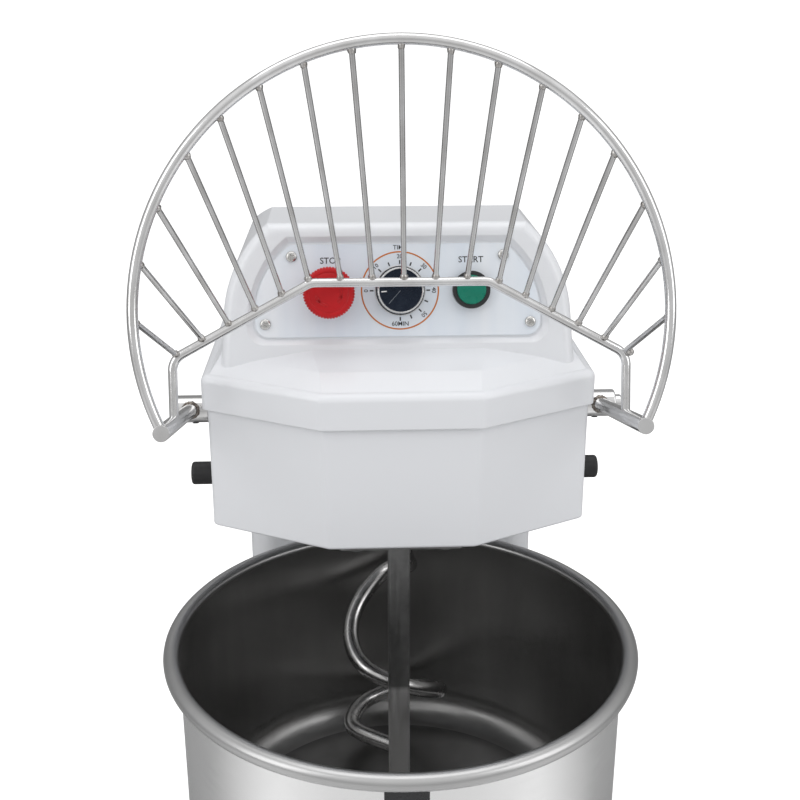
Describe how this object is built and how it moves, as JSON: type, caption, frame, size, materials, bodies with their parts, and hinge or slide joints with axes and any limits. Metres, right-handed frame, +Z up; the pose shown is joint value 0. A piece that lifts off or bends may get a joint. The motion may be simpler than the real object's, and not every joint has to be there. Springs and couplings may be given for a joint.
{
  "type": "spiral dough mixer",
  "caption": "Floor-standing spiral dough mixer with a turning bowl, spiral hook, breaker bar, hinged wire guard and a console with timer, start and stop controls.",
  "frame": {"origin": "on the floor, under the middle of the machine's bounding box", "axes": "+Z up, +Y towards the back of the machine, +X to the right as seen from the front"},
  "size_m": [0.388, 0.6748, 0.8848],
  "materials": {
    "white_paint": "satin white powder coat",
    "base_paint": "satin white powder coat",
    "bowl_steel": "satin rim, polished outside, brushed inside",
    "polished_steel": "polished round bar with clear welds",
    "hook_steel": "polished bar",
    "bar_steel": "dull cast finish",
    "panel_face": "satin pale blue film",
    "red_plastic": "satin red",
    "green_plastic": "satin green",
    "black_plastic": "satin black",
    "knob_plastic": "turned face with bright rim",
    "black_rubber": "matt",
    "label_black": "plain satin plate",
    "screw_steel": "bright zinc",
    "zinc_steel": "zinc plated",
    "shaft_steel": "ground",
    "chain_steel": "oiled",
    "cast_housing": "grey enamel",
    "pulley_iron": "machined",
    "belt_rubber": "matt",
    "motor_alloy": "cast, painted grey",
    "stator_core": "laminated, varnished",
    "gland_nylon": "moulded"
  },
  "bodies": {
    "frame": {"bowl_bearing_housing": "cast_housing", "bowl_bearings": "shaft_steel", "bowl_chain": "chain_steel", "base_housing": "base_paint", "base_plate": "zinc_steel", "rubber_feet": "black_rubber", "foot_bolts": "zinc_steel", "column_shell": "base_paint", "rear_cover": "base_paint", "rear_cover_screws": "screw_steel", "cable_gland": "gland_nylon", "head_housing": "white_paint", "head_plate": "zinc_steel", "hook_bearing_housing": "cast_housing", "hook_bearings": "shaft_steel", "breaker_bar": "bar_steel", "breaker_bolts": "zinc_steel", "guard_bumpers": "black_rubber", "guard_bushes": "zinc_steel", "guard_switch": "black_plastic", "top_cover": "white_paint", "control_panel": "panel_face", "panel_screws": "screw_steel", "stop_collar": "black_plastic", "start_bezel": "black_plastic", "timer_body": "black_plastic", "switch_blocks": "black_plastic", "contactor": "black_plastic", "hook_chain": "chain_steel", "drive_belts": "belt_rubber", "jackshaft_bearing_units": "cast_housing", "motor_mount_plate": "zinc_steel", "motor_housing": "motor_alloy", "motor_stator": "stator_core", "fan_cover": "motor_alloy"},
    "bowl": {"bowl_shell": "bowl_steel", "bowl_label": "label_black", "bowl_hub": "zinc_steel", "bowl_shaft": "shaft_steel", "bowl_sprocket": "chain_steel"},
    "hook": {"spiral_hook": "hook_steel", "hook_shaft": "shaft_steel", "hook_sprocket": "chain_steel", "hook_pulley": "pulley_iron"},
    "jackshaft": {"jackshaft": "shaft_steel", "jackshaft_upper_sprocket": "chain_steel", "jackshaft_lower_sprocket": "chain_steel"},
    "motor_rotor": {"motor_rotor": "shaft_steel", "motor_pulley": "pulley_iron", "motor_fan": "black_plastic"},
    "guard": {"guard_arms": "polished_steel", "guard_arch": "polished_steel", "guard_inner_frame": "polished_steel", "guard_wires": "polished_steel", "guard_shaft": "polished_steel", "guard_set_screws": "black_plastic"},
    "stop_plunger": {"stop_stem": "black_plastic"},
    "stop_button": {"stop_cap": "red_plastic"},
    "start_button": {"start_cap": "green_plastic"},
    "timer": {"timer_knob": "knob_plastic"}
  },
  "joints": [
    {"name": "bowl_spin", "type": "hinge", "parent": "frame", "child": "bowl", "pos_m": [0, -0.1435, 0.406], "axis": [0, 0, 1], "continuous": true},
    {"name": "hook_spin", "type": "hinge", "parent": "frame", "child": "hook", "pos_m": [0, -0.0235, 0.406], "axis": [0, 0, 1], "continuous": true},
    {"name": "jackshaft_spin", "type": "hinge", "parent": "frame", "child": "jackshaft", "pos_m": [0, 0.1215, 0.406], "axis": [0, 0, 1], "continuous": true},
    {"name": "motor_spin", "type": "hinge", "parent": "frame", "child": "motor_rotor", "pos_m": [0, 0.2365, 0.406], "axis": [0, 0, 1], "continuous": true},
    {"name": "guard_hinge", "type": "hinge", "parent": "frame", "child": "guard", "pos_m": [0, -0.0627, 0.5805], "axis": [1, 0, 0], "range_deg": [0, 103.9]},
    {"name": "stop_press", "type": "slide", "parent": "frame", "child": "stop_plunger", "axis": [0, 0.9659, -0.2588], "range_m": [0, 0.0045]},
    {"name": "stop_twist", "type": "hinge", "parent": "stop_plunger", "child": "stop_button", "pos_m": [-0.054, -0.09602, 0.68757], "axis": [0, 0.9659, -0.2588], "range_deg": [0, 35], "stiffness_Nm_per_rad": 0.1},
    {"name": "start_press", "type": "slide", "parent": "frame", "child": "start_button", "axis": [0, 0.9659, -0.2588], "range_m": [0, 0.0024], "stiffness_N_per_m": 600},
    {"name": "timer_turn", "type": "hinge", "parent": "frame", "child": "timer", "pos_m": [0.0015, -0.09563, 0.68902], "axis": [0, 0.9659, -0.2588], "range_deg": [0, 270]}
  ],
  "couplings": [
    {"joint": "hook_spin", "follows": "bowl_spin", "ratio": 10},
    {"joint": "jackshaft_spin", "follows": "bowl_spin", "ratio": 3.3333},
    {"joint": "motor_spin", "follows": "bowl_spin", "ratio": 45}
  ]
}
